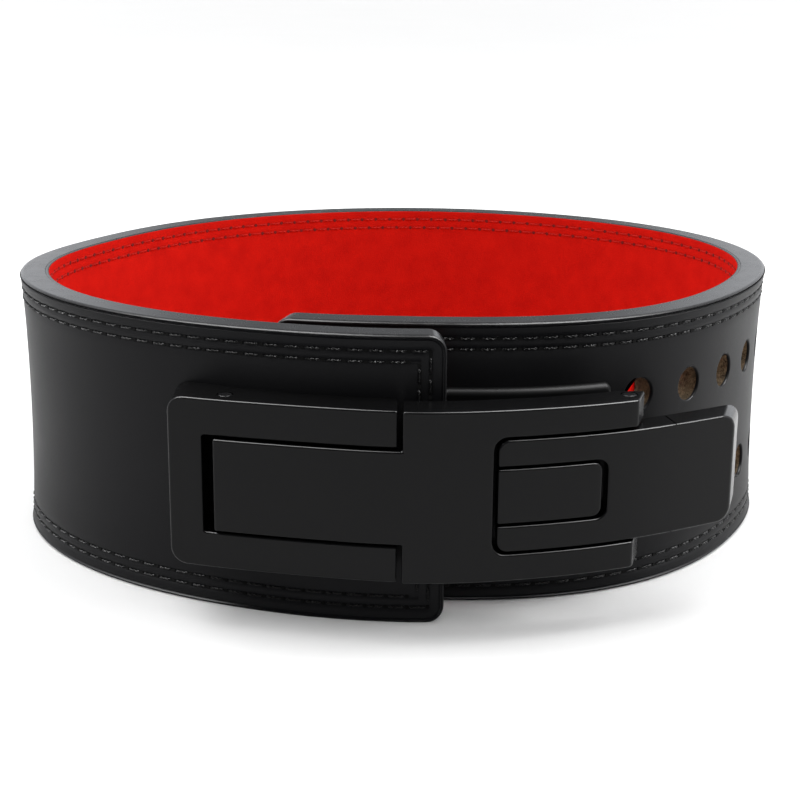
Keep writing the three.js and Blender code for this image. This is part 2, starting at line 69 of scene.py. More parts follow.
# Pressed sections of the two faces: distance in from the rim, depth, both in mm
OUTER_SECTION = [
    (1.25, 0.34), (1.5, 0.36), (1.8, 0.06), (3.5, 0.1), (4.7, 0.4), (5.1, 0.75), (5.9, 0.75), (6.3, 0.42),
    (7.4, 0.3), (8.5, 0.42), (8.9, 0.75), (9.7, 0.75), (10.1, 0.4), (13.0, 0.32), (18.0, 0.4),
]
LINING_SECTION = [
    (3.0, 0.0), (3.7, 0.3), (4.3, 0.3), (5.0, 0.04), (7.0, 0.04), (7.7, 0.3), (8.3, 0.3), (9.0, 0.0),
]
OUTER_ROWS = (5.5 * MM, 9.3 * MM)  # stitch rows, in from the rim
LINING_ROWS = (4.0 * MM, 8.0 * MM)
STITCH_PITCH = 7.2 * MM
OUTER_ROUNDING = 1.1 * MM
INNER_ROUNDING = 0.2 * MM
SUEDE_ROUNDING = 0.4 * MM
SUEDE_INSET = 0.12 * MM
LENGTH_SLICES = 210  # cuts along the strap, so that it rolls up smoothly
HEIGHT_SLICES = [MIDDLE + i * 9 * MM for i in range(-3, 4)]

HOLE_RADIUS = 6.1 * MM
HOLE_PITCH = 26.2 * MM
FIRST_HOLE = 26.6 * MM
HOLE_RISE = 20.9 * MM
HOLES_PER_ROW = 9
DYED_DEPTH = 1.5 * MM  # how deep the black dye goes from the outer face
LIP = 0.6 * MM  # rounding of the holes and ends
PAINTED = 1.3 * MM  # how far the rim paint comes down from the upper rim

# Buckle, x across from the loop's middle
HALF_BUCKLE = 29.2 * MM
DEPTH = 14.5 * MM
CAST_WALL = 3.2 * MM
PIN_SETBACK = 8.5 * MM
PIN_RADIUS = 2.5 * MM
BORE_RADIUS = 2.8 * MM
FRAME_START = -76.1 * MM
FRAME_LENGTH = 76 * MM
FRAME_PIN = -56.9 * MM
BODY_END = 31.1 * MM
HANDLE_START = 32.5 * MM
TONGUE_PIN = 38.5 * MM
LEVER_PIN = 76.64 * MM
FAR = 40 * MM  # reach of cutting blocks past what they cut
EDGE = 0.75 * MM  # rounding of the castings' edges
END_FLARE = 0.28  # how far the arms' and the handle's ends spread for each length behind their face


# Modelling steps

def only(piece):
    bpy.ops.object.select_all(action="DESELECT")
    piece.select_set(True)
    bpy.context.view_layer.objects.active = piece


def edit(piece, kind="VERT"):
    only(piece)
    bpy.ops.object.mode_set(mode="EDIT")
    bpy.ops.mesh.select_mode(type=kind)
    bpy.ops.mesh.select_all(action="DESELECT")


def leave_edit():
    bpy.ops.object.mode_set(mode="OBJECT")


def pick(piece, kind, wanted):
    mesh = bmesh.from_edit_mesh(piece.data)
    if kind == "VERT":
        for vert in mesh.verts:
            vert.select_set(wanted(vert.co))
    elif kind == "EDGE":
        for edge in mesh.edges:
            edge.select_set(all(wanted(vert.co) for vert in edge.verts))
    else:
        for face in mesh.faces:
            face.select_set(wanted(face.calc_center_median(), face.normal))
    bmesh.update_edit_mesh(piece.data)


def apply_all(piece):
    only(piece)
    for modifier in list(piece.modifiers):
        bpy.ops.object.modifier_apply(modifier=modifier.name)


def block(name, left, right, low, high, front, back):
    bpy.ops.object.select_all(action="DESELECT")
    centre = ((left + right) / 2, (front + back) / 2, (low + high) / 2)
    bpy.ops.mesh.primitive_cube_add(size=1, location=centre)
    piece = bpy.context.object
    piece.name = name
    piece.scale = (right - left, back - front, high - low)
    bpy.ops.object.transform_apply(location=True, rotation=True, scale=True)
    return piece


def bar(name, place, radius, length, axis, sides=32):
    turn = {"X": (0, math.pi / 2, 0), "Y": (math.pi / 2, 0, 0), "Z": (0, 0, 0)}[axis]
    bpy.ops.object.select_all(action="DESELECT")
    bpy.ops.mesh.primitive_cylinder_add(
        vertices=sides, radius=radius, depth=length, location=place, rotation=turn)
    piece = bpy.context.object
    piece.name = name
    bpy.ops.object.transform_apply(location=True, rotation=True, scale=True)
    return piece


def combine(piece, other, operation):
    only(piece)
    modifier = piece.modifiers.new("combine", "BOOLEAN")
    modifier.object = other
    modifier.operation = operation
    modifier.solver = "EXACT"
    bpy.ops.object.modifier_apply(modifier=modifier.name)
    bpy.data.objects.remove(other)


def join(pieces, name):
    bpy.ops.object.select_all(action="DESELECT")
    for piece in pieces:
        piece.select_set(True)
    bpy.context.view_layer.objects.active = pieces[0]
    bpy.ops.object.join()
    pieces[0].name = name
    return pieces[0]


def slice_at(piece, axis, places):
    normal = {"X": (1, 0, 0), "Y": (0, 1, 0), "Z": (0, 0, 1)}[axis]
    edit(piece)
    for place in places:
        bpy.ops.mesh.select_all(action="SELECT")
        point = tuple(place * part for part in normal)
        bpy.ops.mesh.bisect(plane_co=point, plane_no=normal, threshold=1e-7)
    leave_edit()


def ease_edges(piece, width, segments=3, angle=40):
    only(piece)
    modifier = piece.modifiers.new("eased edges", "BEVEL")
    modifier.width = width
    modifier.segments = segments
    modifier.limit_method = "ANGLE"
    modifier.angle_limit = math.radians(angle)
    bpy.ops.object.modifier_apply(modifier=modifier.name)


def smooth(piece, angle=40):
    """Shades smooth, with the broad faces flat and only the eased edges rounded."""
    only(piece)
    bpy.ops.object.shade_smooth_by_angle(angle=math.radians(angle), keep_sharp_edges=False)
    modifier = piece.modifiers.new("even shading", "WEIGHTED_NORMAL")
    modifier.weight = 60
    modifier.keep_sharp = True
    bpy.ops.object.modifier_apply(modifier=modifier.name)


def finish_piece(piece, material, slot, *nodes):
    if not piece.data.materials:
        piece.data.materials.append(material)
    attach(piece, "root")
    if nodes:
        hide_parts(*nodes)


# Curves that the belt and the buckle follow

def smooth_line(points):
    xs = np.array([x for x, y in points], dtype=float)
    ys = np.array([y for x, y in points], dtype=float)
    step = np.diff(xs)
    count = len(xs)
    table, load = np.eye(count), np.zeros(count)
    for i in range(1, count - 1):
        table[i, i - 1:i + 2] = step[i - 1], 2 * (step[i - 1] + step[i]), step[i]
        load[i] = 6 * ((ys[i + 1] - ys[i]) / step[i] - (ys[i] - ys[i - 1]) / step[i - 1])
    bend = np.linalg.solve(table, load)

    def at(x):
        k = min(max(int(np.searchsorted(xs, x)) - 1, 0), count - 2)
        a, b = (xs[k + 1] - x) / step[k], (x - xs[k]) / step[k]
        curve = ((a ** 3 - a) * bend[k] + (b ** 3 - b) * bend[k + 1]) * step[k] ** 2 / 6
        return a * ys[k] + b * ys[k + 1] + curve
    return at


REACH = smooth_line([(turn, reach * HALF_WIDTH) for turn, reach in LOOP_PLAN])
FORWARD = smooth_line([(across * HALF_WIDTH, forward * HALF_WIDTH) for across, forward in FACE_PLAN])


def lever_face(x):
    return -(FORWARD(x) + WALL + DEPTH)


def walk_outer_face():
    def lining_point(turn):
        angle, reach = math.radians(turn), REACH(turn)
        return Vector((reach * math.sin(angle), -reach * math.cos(angle), 0))

    points = []
    for i in range(1601):
        turn = INNER_END + (OUTER_END - INNER_END) * i / 1600
        ahead = (lining_point(turn + 0.02) - lining_point(turn - 0.02)).normalized()
        points.append(lining_point(turn) + Vector((ahead.y, -ahead.x, 0)) * WALL + LOOP_CENTRE)
    return points


OUTER_FACE = walk_outer_face()
STRAP_LENGTH = sum((b - a).length for a, b in zip(OUTER_FACE, OUTER_FACE[1:]))


def make_loop_curve():
    data = bpy.data.curves.new("loop_curve", "CURVE")
    data.dimensions = "3D"
    data.twist_mode = "Z_UP"
    line = data.splines.new("POLY")
    line.points.add(len(OUTER_FACE) - 1)
    for point, place in zip(line.points, OUTER_FACE):
        point.co = (*place, 1)
    curve = bpy.data.objects.new("loop_curve", data)
    bpy.context.scene.collection.objects.link(curve)
    return curve


def make_lattice(name, low, high, counts, shift):
    data = bpy.data.lattices.new(name)
    data.points_u, data.points_v, data.points_w = counts
    data.interpolation_type_u = "KEY_LINEAR"
    data.interpolation_type_v = "KEY_LINEAR"
    data.interpolation_type_w = "KEY_LINEAR"
    cage = bpy.data.objects.new(name, data)
    bpy.context.scene.collection.objects.link(cage)
    low, high = Vector(low), Vector(high)
    cage.location = (low + high) / 2
    cage.scale = [(b - a) / (n - 1) for a, b, n in zip(low, high, counts)]
    for point in data.points:
        place = cage.location + Vector(c * s for c, s in zip(point.co, cage.scale))
        push = shift(place)
        point.co_deform = [c + p / s for c, p, s in zip(point.co, push, cage.scale)]
    bpy.context.view_layer.update()
    return cage


def waist_push(place):
    height = (place.z - MIDDLE) / MIDDLE
    near_end = min(max((place.x - STRAP_LENGTH + LEAN_RUN) / LEAN_RUN, 0.0), 1.0)
    return Vector((0, WAIST * max(0.0, 1 - height * height) + LEAN * near_end * place.z / HEIGHT, 0))


LOOP_CURVE = make_loop_curve()
WAIST_CAGE = make_lattice("waist_cage", (-0.05, -0.02, 0), (1.05, 0.03, HEIGHT), (56, 2, 21), waist_push)
FACE_CAGE = make_lattice(
    "face_cage", (-0.085, -0.02, -0.01), (0.125, 0.05, 0.11), (57, 2, 2),
    lambda place: Vector((LOOP_CENTRE.x, lever_face(place.x) + LOOP_CENTRE.y, 0)))


def roll_up(piece, waisted=True):
    """Rolls a piece that was laid out flat, x along the outer face and -y outwards, into the loop."""
    only(piece)
    if waisted:
        piece.modifiers.new("waist", "LATTICE").object = WAIST_CAGE
    piece.modifiers.new("loop", "CURVE").object = LOOP_CURVE
    apply_all(piece)


def follow_face(piece):
    """Moves a buckle piece that was built with a flat front at y = 0 back to the lever's curved face."""
    first = -0.085
    step = 0.210 / 56
    lows = min(vert.co.x for vert in piece.data.vertices)
    highs = max(vert.co.x for vert in piece.data.vertices)
    slice_at(piece, "X", [first + i * step for i in range(57) if lows < first + i * step < highs])
    piece.modifiers.new("face", "LATTICE").object = FACE_CAGE
    apply_all(piece)


# Finishes

def make_finish(name, dark, light, rough, patch, grain, depth, specular, sheen=0.0):
    """Material whose colour and gloss wander over patches and whose surface has a fine grain.

    patch, grain and depth are lengths; rough gives the roughness range."""
    material = bpy.data.materials.new(name)
    material.use_nodes = True
    nodes, links = material.node_tree.nodes, material.node_tree.links
    shader = nodes["Principled BSDF"]
    shader.inputs["Specular IOR Level"].default_value = specular
    shader.inputs["Sheen Weight"].default_value = sheen
    shader.inputs["Sheen Tint"].default_value = (*light, 1)
    place = nodes.new("ShaderNodeTexCoord")
    patches = nodes.new("ShaderNodeTexNoise")
    patches.inputs["Scale"].default_value = 1 / patch
    patches.inputs["Detail"].default_value = 4
    links.new(place.outputs["Object"], patches.inputs["Vector"])
    fine = nodes.new("ShaderNodeTexNoise")
    fine.inputs["Scale"].default_value = 1 / grain
    fine.inputs["Detail"].default_value = 3
    links.new(place.outputs["Object"], fine.inputs["Vector"])
    both = nodes.new("ShaderNodeMix")
    both.inputs["Factor"].default_value = 0.4
    links.new(patches.outputs[0], both.inputs["A"])
    links.new(fine.outputs[0], both.inputs["B"])
    ramp = nodes.new("ShaderNodeValToRGB")
    ramp.color_ramp.elements[0].position = 0.35
    ramp.color_ramp.elements[1].position = 0.65
    ramp.color_ramp.elements[0].color = (*dark, 1)
    ramp.color_ramp.elements[1].color = (*light, 1)
    links.new(both.outputs[0], ramp.inputs[0])
    links.new(ramp.outputs[0], shader.inputs["Base Color"])
    gloss = nodes.new("ShaderNodeMapRange")
    gloss.inputs["From Min"].default_value = 0.3
    gloss.inputs["From Max"].default_value = 0.7
    gloss.inputs["To Min"].default_value = rough[0]
    gloss.inputs["To Max"].default_value = rough[1]
    links.new(both.outputs[0], gloss.inputs["Value"])
    links.new(gloss.outputs[0], shader.inputs["Roughness"])
    bump = nodes.new("ShaderNodeBump")
    bump.inputs["Strength"].default_value = 1.0
    bump.inputs["Distance"].default_value = depth
    links.new(fine.outputs[0], bump.inputs["Height"])
    links.new(bump.outputs[0], shader.inputs["Normal"])
    return material


FLOOR = make_finish(
    "pale_floor", (0.93, 0.93, 0.93), (0.94, 0.94, 0.94), (0.6, 0.7),
    0.3, 0.02, 0.00001, 0.1)
BLACK_LEATHER = make_finish(
    "black_leather", (0.003, 0.003, 0.0036), (0.0042, 0.0042, 0.005), (0.4, 0.48),
    0.03, 0.0007, 0.00002, 0.09)
RIM_PAINT = make_finish(
    "rim_paint", (0.01, 0.01, 0.011), (0.02, 0.02, 0.021), (0.22, 0.3),
    0.006, 0.0006, 0.000006, 0.08)
RAW_LEATHER = make_finish(
    "raw_leather", (0.024, 0.017, 0.01), (0.17, 0.12, 0.07), (0.85, 0.95),
    0.0016, 0.0004, 0.0002, 0.05)
RED_SUEDE = make_finish(
    "red_suede", (0.46, 0.0045, 0.0018), (0.56, 0.0075, 0.003), (0.9, 1.0),
    0.008, 0.0006, 0.00012, 0.02, 0.2)
BLACK_THREAD = make_finish(
    "black_thread", (0.003, 0.003, 0.003), (0.006, 0.006, 0.006), (0.25, 0.32),
    0.0012, 0.0003, 0.0001, 0.16)
RED_THREAD = make_finish(
    "red_thread", (0.4, 0.005, 0.002), (0.54, 0.009, 0.003), (0.7, 0.9),
    0.0012, 0.0003, 0.0001, 0.05)
# Near-black and dark red discs of painted shade, put where the needle holes in the leather and in the lining
# are
NEEDLE_SHADE_DISC = make_finish(
    "needle_shade_disc", (0.001, 0.001, 0.001), (0.002, 0.002, 0.002), (0.9, 1.0),
    0.0012, 0.0003, 0.00002, 0.1)
RED_NEEDLE_SHADE_DISC = make_finish(
    "red_needle_shade_disc", (0.12, 0.002, 0.001), (0.2, 0.004, 0.002), (0.9, 1.0),
    0.0012, 0.0003, 0.00002, 0.1)
COATED_METAL = make_finish(
    "coated_metal", (0.0018, 0.0018, 0.002), (0.0022, 0.0022, 0.0025), (0.24, 0.26),
    0.03, 0.002, 0.0000001, 0.12)
SATIN_METAL = make_finish(
    "satin_metal", (0.002, 0.002, 0.0022), (0.0026, 0.0026, 0.003), (0.44, 0.48),
    0.03, 0.002, 0.0000001, 0.06)
PIN_STEEL = make_finish(
    "pin_steel", (0.006, 0.006, 0.0065), (0.012, 0.012, 0.013), (0.2, 0.25),
    0.002, 0.0005, 0.0000002, 0.12)


# Strap and lining, laid out flat and then rolled up

def flat_plate(name, left, right, low, high, front, back, corner):
    bpy.ops.object.select_all(action="DESELECT")
    bpy.ops.mesh.primitive_plane_add(
        size=1, location=((left + right) / 2, front, (low + high) / 2), rotation=(math.pi / 2, 0, 0))
    plate = bpy.context.object
    plate.name = name
    plate.scale = (right - left, high - low, 1)
    bpy.ops.object.transform_apply(location=True, rotation=True, scale=True)
    edit(plate)
    bpy.ops.mesh.select_all(action="SELECT")
    bpy.ops.mesh.bevel(offset=corner, segments=7, affect="VERTICES")
    bpy.ops.mesh.select_all(action="SELECT")
    bpy.ops.mesh.extrude_region_move(TRANSFORM_OT_translate={"value": (0, back - front, 0)})
    bpy.ops.mesh.select_all(action="SELECT")
    bpy.ops.mesh.normals_make_consistent(inside=False)
    leave_edit()
    return plate


def round_rims(plate, at, radius, segments):
    edit(plate, "EDGE")
    pick(plate, "EDGE", lambda place: abs(place.y - at) < 1e-6)
    bpy.ops.mesh.bevel(offset=radius, segments=segments, affect="EDGES")
    leave_edit()


def press_section(plate, at, start, section, corner):
    """Presses a section into the broad face at y = at: rows near the rim are inset round the rounded
    corners, and rows further in are cut as rectangles and moved."""
    near = [row for row in section if row[0] * MM < corner + start - 1.0 * MM]
    far = section[len(near):]
    side = -1 if at < LEATHER else 1
    edit(plate, "FACE")
    pick(plate, "FACE", lambda place, normal: abs(place.y - at) < 1e-6 and abs(normal.y) > 0.99)
    inward, deep = start, 0.0
    for distance, depth in near:
        bpy.ops.mesh.inset(thickness=distance * MM - inward, depth=deep - depth * MM, use_even_offset=True)
        inward, deep = distance * MM, depth * MM
    leave_edit()
    left = min(vert.co.x for vert in plate.data.vertices)
    low = min(vert.co.z for vert in plate.data.vertices)
    right, high = STRAP_LENGTH - left, HEIGHT - low
    slice_at(plate, "X", [left + row[0] * MM for row in far] + [right - row[0] * MM for row in far])
    slice_at(plate, "Z", [low + row[0] * MM for row in far] + [high - row[0] * MM for row in far])
    level = at - side * deep
    for i, (distance, depth) in enumerate(far):
        last = i == len(far) - 1
        edit(plate, "VERT")
        pick(plate, "VERT", lambda place: abs(place.y - level) < 1e-6 and (
            min(place.x - left, right - place.x, place.z - low, high - place.z) > distance * MM - 1e-5)
            and (last or min(place.x - left, right - place.x, place.z - low, high - place.z)
                 < distance * MM + 1e-5))
        bpy.ops.transform.translate(value=(0, side * (deep - depth * MM), 0))
        leave_edit()


def slice_wall(plate):
    slice_at(plate, "Z", HEIGHT_SLICES)
    slice_at(plate, "X", [STRAP_LENGTH * i / LENGTH_SLICES for i in range(1, LENGTH_SLICES)])


def hole_places():
    return [(FIRST_HOLE + i * HOLE_PITCH, MIDDLE + side * HOLE_RISE)
            for i in range(HOLES_PER_ROW) for side in (-1, 1)]


def punch_holes(plate):
    punches = [bar("punch", (x, WALL / 2, z), HOLE_RADIUS, 3 * WALL, "Y") for x, z in hole_places()]
    combine(plate, join(punches, "punches"), "DIFFERENCE")


def paint_faces(piece, index, wanted):
    edit(piece, "FACE")
    pick(piece, "FACE", wanted)
    piece.active_material_index = index
    bpy.ops.object.material_slot_assign()
    leave_edit()


def near_hole(place):
    return any(math.hypot(place.x - x, place.z - z) < HOLE_RADIUS + 0.3 * MM for x, z in hole_places())


def make_strap():
    strap = flat_plate("leather_strap", 0, STRAP_LENGTH, 0, HEIGHT, 0, LEATHER, END_CORNER)
    round_rims(strap, 0, OUTER_ROUNDING, 3)
    round_rims(strap, LEATHER, INNER_ROUNDING, 2)
    press_section(strap, 0, OUTER_ROUNDING, OUTER_SECTION, END_CORNER - OUTER_ROUNDING)
    slice_wall(strap)
    punch_holes(strap)
    edit(strap, "EDGE")
    bpy.ops.mesh.edges_select_sharp(sharpness=math.radians(60))
    bpy.ops.mesh.bevel(offset=LIP, segments=3, affect="EDGES")
    leave_edit()
    slice_at(strap, "Y", [DYED_DEPTH])
    for material in (BLACK_LEATHER, RIM_PAINT, RAW_LEATHER):
        strap.data.materials.append(material)
    # Rim paint covers the upper rim and the ends. The lower rim, which carries the same edge paint, is left
    # in the darker black leather as painted shade.
    paint_faces(strap, 1, lambda place, normal: place.z > HEIGHT - PAINTED or (
        place.z > 3 * MM and abs(normal.y) < 0.7 and not near_hole(place)))
    paint_faces(strap, 2, lambda place, normal: near_hole(place) and place.y > DYED_DEPTH)
    roll_up(strap)
    smooth(strap, 45)
    finish_piece(strap, BLACK_LEATHER, "black_leather", "strap")


def make_lining():
    low, high, corner = SUEDE_INSET, HEIGHT - SUEDE_INSET, END_CORNER - SUEDE_INSET
    near, far = LEATHER + 0.04 * MM, WALL
    lining = flat_plate(
        "suede_lining", SUEDE_INSET, STRAP_LENGTH - SUEDE_INSET, low, high, near, far, corner)
    round_rims(lining, far, SUEDE_ROUNDING, 2)
    press_section(lining, far, SUEDE_ROUNDING, LINING_SECTION, corner - SUEDE_ROUNDING)
    slice_wall(lining)
    punch_holes(lining)
    for material in (RED_SUEDE, RIM_PAINT):
        lining.data.materials.append(material)
    paint_faces(lining, 1, lambda place, normal: normal.y < 0.88 and not near_hole(place))
    roll_up(lining)
    smooth(lining, 45)
    finish_piece(lining, RED_SUEDE, "red_suede", "lining")


# Stitching

def make_stitch(name, along, place, outward, thread, hole_shade):
    """One stitch of two twisted strands, its ends drawn into the leather, and after it a near-black disc of
    painted shade where the needle hole is.

    outward is -1 or 1, the way the face looks along y."""
    strands = [
        bar("strand", (0, 0, side * 0.2 * MM), 0.24 * MM, 5.6 * MM, "X", 6)
        for side in (-1, 1)
    ]
    stitch = join(strands, name)
    slice_at(stitch, "X", [i * 0.56 * MM for i in range(-4, 5)])
    only(stitch)
    twist = stitch.modifiers.new("twist", "SIMPLE_DEFORM")
    twist.deform_method = "TWIST"
    twist.deform_axis = "X"
    twist.angle = math.radians(540)
    bpy.ops.object.modifier_apply(modifier=twist.name)
    for reach, drop in ((2.7 * MM, 0.6 * MM), (2.1 * MM, 0.2 * MM)):
        edit(stitch)
        pick(stitch, "VERT", lambda at: abs(at.x) > reach)
        bpy.ops.transform.translate(value=(0, -outward * drop, 0))
        leave_edit()
    smooth(stitch, 60)
    stitch.data.materials.append(thread)
    after = (STITCH_PITCH / 2, -outward * 0.18 * MM, 0)
    # The needle hole is not cut: a dark disc on the face paints its shade
    hole = bar("needle_shade_disc", after, 0.75 * MM, 0.3 * MM, "Y", 8)
    hole.data.materials.append(hole_shade)
    stitch = join([stitch, hole], name)
    if along == "Z":
        only(stitch)
        stitch.rotation_euler = (0, -math.pi / 2, 0)
    stitch.location = place
    only(stitch)
    bpy.ops.object.transform_apply(location=True, rotation=True, scale=True)
    return stitch


def stitch_line(name, along, start, length, outward, thread, hole_shade):
    count = int(length / STITCH_PITCH)
    spare = (length - count * STITCH_PITCH) / 2 + STITCH_PITCH / 2
    first = Vector(start) + spare * (Vector((1, 0, 0)) if along == "X" else Vector((0, 0, 1)))
    line = make_stitch(name, along, first, outward, thread, hole_shade)
    only(line)
    modifier = line.modifiers.new("line", "ARRAY")
    modifier.use_relative_offset = False
    modifier.use_constant_offset = True
    modifier.constant_offset_displace = (STITCH_PITCH, 0, 0) if along == "X" else (0, 0, STITCH_PITCH)
    modifier.count = count
    bpy.ops.object.modifier_apply(modifier=modifier.name)
    return line


def make_stitching(name, rows, level, outward, thread, hole_shade, slot):
    """Two lines of stitches that run round all four edges of the strap, at a level along y."""
    look = outward, thread, hole_shade
    lines = []
    for row in rows:
        for height in (row, HEIGHT - row):
            lines.append(stitch_line("row", "X", (row, level, height), STRAP_LENGTH - 2 * row, *look))
        for x in (row, STRAP_LENGTH - row):
            lines.append(stitch_line("end_row", "Z", (x, level, row), HEIGHT - 2 * row, *look))
    stitching = join(lines, name)
    roll_up(stitching)
    finish_piece(stitching, thread, slot)


# Buckle, built with a flat front at y = 0

def round_uprights(piece, corners, radius, segments=6):
    for x, z in corners:
        edit(piece, "EDGE")
        pick(piece, "EDGE", lambda place: (
            abs(place.x - x) < 1e-5 and abs(place.z - MIDDLE - z) < 1e-5))
        bpy.ops.mesh.bevel(offset=radius, segments=segments, affect="EDGES")
        leave_edit()


def flare_end(piece, end, back):
    """Spreads a block's right end towards its back, so that it flares once it follows the face."""
    slope = (lever_face(end + 1 * MM) - lever_face(end)) / (1 * MM)
    edit(piece)
    pick(piece, "VERT", lambda place: place.x > end - 6 * MM and place.y > back - 1e-6)
    bpy.ops.transform.translate(value=(END_FLARE * back / (1 - END_FLARE * slope), 0, 0))
    leave_edit()


def slab(name, left, right, half, front, back):
    return block(name, left, right, MIDDLE - half, MIDDLE + half, front, back)


def strap_seat(left, right, level):
    """Block on the inner side of a level, rolled with the strap, that cuts what lies on its outer face."""
    seat = block("seat", left, right, -5 * MM, HEIGHT + 5 * MM, level, level + 30 * MM)
    slice_at(seat, "X", [left + i * 4 * MM for i in range(1, int((right - left) / (4 * MM)))])
    roll_up(seat, waisted=False)
    return seat


def pin_place(x):
    return x + LOOP_CENTRE.x, lever_face(x) + PIN_SETBACK + LOOP_CENTRE.y, MIDDLE


def bore(piece, x):
    combine(piece, bar("bore", pin_place(x), BORE_RADIUS, 90 * MM, "Z"), "DIFFERENCE")


def make_base_frame():
    left, right = FRAME_START, FRAME_START + FRAME_LENGTH
    inner, slot = left + 11.7 * MM, 16.8 * MM
    front = 1.0 * MM
    piece = slab("buckle_frame", left, right, HALF_BUCKLE, front, 34 * MM)
    round_uprights(piece, [(left, -HALF_BUCKLE), (left, HALF_BUCKLE)], 5.5 * MM)
    opening = slab("opening", inner, right + 20 * MM, slot, -5 * MM, 50 * MM)
    round_uprights(opening, [(inner, -slot), (inner, slot)], 1.0 * MM, 3)
    combine(piece, opening, "DIFFERENCE")
    ease_edges(piece, EDGE)
    follow_face(piece)
    seat = strap_seat(STRAP_LENGTH - 130 * MM, STRAP_LENGTH + 10 * MM, 0.9 * MM)
    combine(piece, seat, "DIFFERENCE")
    bore(piece, FRAME_PIN)
    smooth(piece)
    finish_piece(piece, COATED_METAL, "coated_metal", "base_frame")


def make_lever():
    tip, body, arms = -60.7 * MM, 1.6 * MM, 79.1 * MM
    half_tip, opening = 15.9 * MM, 20.0 * MM
    piece = slab("buckle_lever", body, arms, HALF_BUCKLE, 0, DEPTH)
    flare_end(piece, arms, DEPTH)
    gap = slab("gap", BODY_END, arms + 20 * MM, opening, -5 * MM, FAR)
    round_uprights(gap, [(BODY_END, -opening), (BODY_END, opening)], 4.5 * MM)
    combine(piece, gap, "DIFFERENCE")
    combine(piece, slab("tip", tip, body + 5 * MM, half_tip, 0, DEPTH), "UNION")
    hollows = (
        (-45 * MM, body + CAST_WALL, half_tip - CAST_WALL),
        (body + CAST_WALL / 2, BODY_END - CAST_WALL, HALF_BUCKLE - CAST_WALL),
    )
    for left, right, half in hollows:
        combine(piece, slab("hollow", left, right, half, CAST_WALL, FAR), "DIFFERENCE")
    ease_edges(piece, EDGE)
    follow_face(piece)
    flat_back = lever_face(LEVER_PIN) + PIN_SETBACK + 3.8 * MM + LOOP_CENTRE.y
    behind = block("behind_arms", BODY_END, arms + DEPTH, 0, HEIGHT, flat_back, flat_back + DEPTH)
    combine(piece, behind, "DIFFERENCE")
    bore(piece, FRAME_PIN)
    bore(piece, LEVER_PIN)
    smooth(piece)
    finish_piece(piece, COATED_METAL, "coated_metal", "lever")


def cut_seam(piece, seam, deep, rise):
    """Slanted groove 0.4 mm deep across an upper or lower edge; rise is the cutting block's, from MIDDLE."""
    groove = block("groove", seam - 0.25 * MM, seam + 0.25 * MM, 0, 4 * MM, -1 * MM, deep + 1 * MM)
    edit(groove)
    pick(groove, "VERT", lambda place: place.y > deep)
    bpy.ops.transform.translate(value=(-2.9 * MM, 0, 0))
    bpy.ops.mesh.select_all(action="SELECT")
    bpy.ops.transform.translate(value=(0, 0, MIDDLE - 2 * MM + rise))
    leave_edit()
    combine(piece, groove, "DIFFERENCE")


def make_handle():
    start, seam, end = HANDLE_START, 93.0 * MM, 115.0 * MM
    half, deep = 19.1 * MM, 12.6 * MM
    notch, notch_end = 10.2 * MM, LEVER_PIN - 7.3 * MM
    piece = slab("buckle_handle", start, end, half, 0, deep)
    round_uprights(piece, [(start, -half), (start, half)], 3.6 * MM)
    round_uprights(piece, [(end, -half), (end, half)], 5.0 * MM)
    flare_end(piece, end, deep)
    opening = slab("opening", start - 20 * MM, notch_end, notch, -5 * MM, FAR)
    round_uprights(opening, [(notch_end, -notch), (notch_end, notch)], 3.9 * MM)
    combine(piece, opening, "DIFFERENCE")
    hollow = slab("hollow", LEVER_PIN + 6.5 * MM, end - CAST_WALL, half - CAST_WALL, CAST_WALL, FAR)
    combine(piece, hollow, "DIFFERENCE")
    ease_edges(piece, EDGE)
    for side in (-1, 1):
        cut_seam(piece, seam, deep, side * (half + 1.6 * MM))
    follow_face(piece)
    bore(piece, LEVER_PIN)
    smooth(piece)
    finish_piece(piece, COATED_METAL, "coated_metal", "handle")


def make_tongue():
    start, end, half = HANDLE_START, LEVER_PIN - 9.3 * MM, 9.3 * MM
    piece = slab("buckle_tongue", start, end, half, 0, DEPTH)
    round_uprights(piece, [(end, -half), (end, half)], 3.0 * MM)
    ease_edges(piece, EDGE)
    neck = slab("neck", 41.9 * MM, 57.9 * MM, 5.5 * MM, DEPTH / 2, 50 * MM)
    combine(piece, neck, "UNION")
    follow_face(piece)
    combine(piece, strap_seat(0, 160 * MM, -2.1 * MM), "DIFFERENCE")
    smooth(piece)
    finish_piece(piece, COATED_METAL, "coated_metal", "tongue")


def make_hook_plate():
    first = FIRST_HOLE + 2 * HOLE_PITCH
    middle = first + HOLE_PITCH / 2
    low, high, half = middle - 34.0 * MM, middle + 26.2 * MM, 27.5 * MM
    plate = slab("hook_plate_piece", low, high, half, -1.8 * MM, 1.0 * MM)
    corners = [(x, side * half) for x in (low, high) for side in (-1, 1)]
    round_uprights(plate, corners, 2.6 * MM, 5)
    round_rims(plate, -1.8 * MM, 2.4 * MM, 7)
    for x in (first, first + HOLE_PITCH):
        for side in (-1, 1):
            place = (x, 4.7 * MM, MIDDLE + side * HOLE_RISE)
            combine(plate, bar("prong", place, 5.0 * MM, 10.4 * MM, "Y"), "UNION")
    slice_at(plate, "X", [low + i * (high - low) / 16 for i in range(1, 16)])
    roll_up(plate, waisted=False)
    smooth(plate)
    finish_piece(plate, SATIN_METAL, "coated_metal", "hook_plate")


def make_pins():
    for name, x, half, node in (
            ("frame_hinge_pin", FRAME_PIN, HALF_BUCKLE, "frame_pin"),
            ("lever_hinge_pin", LEVER_PIN, HALF_BUCKLE, "lever_pin"),
            ("tongue_hinge_pin", TONGUE_PIN, 18.5 * MM, "tongue_pin")):
        pin = bar(name, pin_place(x), PIN_RADIUS, 2 * half, "Z", 40)
        ease_edges(pin, 0.4 * MM, 3)
        smooth(pin)
        finish_piece(pin, PIN_STEEL, "pin_steel", node)


